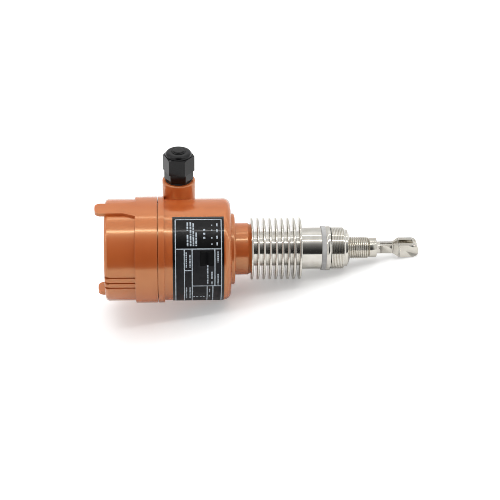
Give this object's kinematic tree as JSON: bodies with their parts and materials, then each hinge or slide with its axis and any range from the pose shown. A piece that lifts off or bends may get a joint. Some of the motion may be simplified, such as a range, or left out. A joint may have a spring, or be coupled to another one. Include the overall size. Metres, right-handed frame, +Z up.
{
  "type": "vibrating fork level switch",
  "caption": "Compact level switch with a two-tine vibrating fork, threaded process adapter, finned heat sink and a round painted housing with screw cover and cable gland.",
  "frame": {"origin": "centre of the shoulder where the process thread starts", "axes": "+X along the process thread towards the fork's tip, +Z up along the cable gland"},
  "size_m": [0.3049, 0.1006, 0.1395],
  "materials": {
    "housing_paint": "glossy copper-orange powder coat on cast aluminium",
    "plate_black": "black anodised and printed",
    "turned_stainless": "turned, bright",
    "gasket_grey": "matte",
    "gland_nylon": "satin moulded nylon",
    "seal_rubber": "matte",
    "piezo_ceramic": "ground ceramic",
    "contact_brass": "bright rolled",
    "plated_steel": "zinc plated",
    "lead_sheath": "grey sheath",
    "insert_moulding": "satin moulding",
    "board_green": "solder mask",
    "terminal_grey": "moulded",
    "component_blue": "moulded",
    "component_white": "moulded",
    "lamp_lens": "tinted clear lens"
  },
  "bodies": {
    "housing": {"housing_body": "housing_paint", "nameplate": "plate_black", "heat_sink": "turned_stainless", "process_adapter": "turned_stainless", "sensor_fork": "turned_stainless", "joint_gasket": "gasket_grey", "gland_body": "gland_nylon", "neck_o_ring": "seal_rubber", "gland_washer": "seal_rubber", "piezo_rings": "piezo_ceramic", "insulating_discs": "piezo_ceramic", "electrode_plates": "contact_brass", "wire_clamps": "contact_brass", "pressure_pad": "plated_steel", "preload_bolt": "plated_steel", "module_screws": "plated_steel", "terminal_screws": "plated_steel", "ground_screw": "plated_steel", "ground_washer": "plated_steel", "sensor_lead": "lead_sheath", "electronics_cup": "insert_moulding", "faceplate": "insert_moulding", "circuit_board": "board_green", "terminal_block": "terminal_grey", "mode_switch": "component_blue", "delay_trimmer": "component_blue", "status_leds": "lamp_lens"},
    "cover_seal": {"cover_o_ring": "seal_rubber"},
    "cover": {"housing_cover": "housing_paint"},
    "gland_insert": {"gland_seal": "seal_rubber"},
    "gland_cap": {"gland_nut": "gland_nylon"},
    "cable_plug": {"gland_plug": "gland_nylon"},
    "mode_knob": {"mode_slider": "component_white"},
    "trimmer": {"trimmer_rotor": "component_white"}
  },
  "joints": [
    {"name": "cover_travel", "type": "slide", "parent": "housing", "child": "cover_seal", "axis": [-1, 0, 0], "range_m": [0, 0.012]},
    {"name": "cover_turn", "type": "hinge", "parent": "cover_seal", "child": "cover", "pos_m": [-0.19, 0, 0], "axis": [-1, 0, 0], "range_deg": [0, 2160]},
    {"name": "gland_nut_travel", "type": "slide", "parent": "housing", "child": "gland_insert", "axis": [0, 0, 1], "range_m": [0, 0.0075]},
    {"name": "gland_nut_turn", "type": "hinge", "parent": "gland_insert", "child": "gland_cap", "pos_m": [-0.1608, 0.0325, 0.075], "axis": [0, 0, 1], "range_deg": [0, 1800]},
    {"name": "plug_pull", "type": "slide", "parent": "gland_insert", "child": "cable_plug", "axis": [0, 0, 1], "range_m": [0, 0.013]},
    {"name": "mode_slide", "type": "slide", "parent": "housing", "child": "mode_knob", "axis": [0, 1, 0], "range_m": [0, 0.003]},
    {"name": "trimmer_turn", "type": "hinge", "parent": "housing", "child": "trimmer", "pos_m": [-0.157, 0.003, 0.009], "axis": [1, 0, 0], "range_deg": [0, 270]}
  ],
  "couplings": [
    {"joint": "cover_travel", "follows": "cover_turn", "m_per_rad": 0.00031831},
    {"joint": "gland_nut_travel", "follows": "gland_nut_turn", "m_per_rad": 0.00023873}
  ]
}
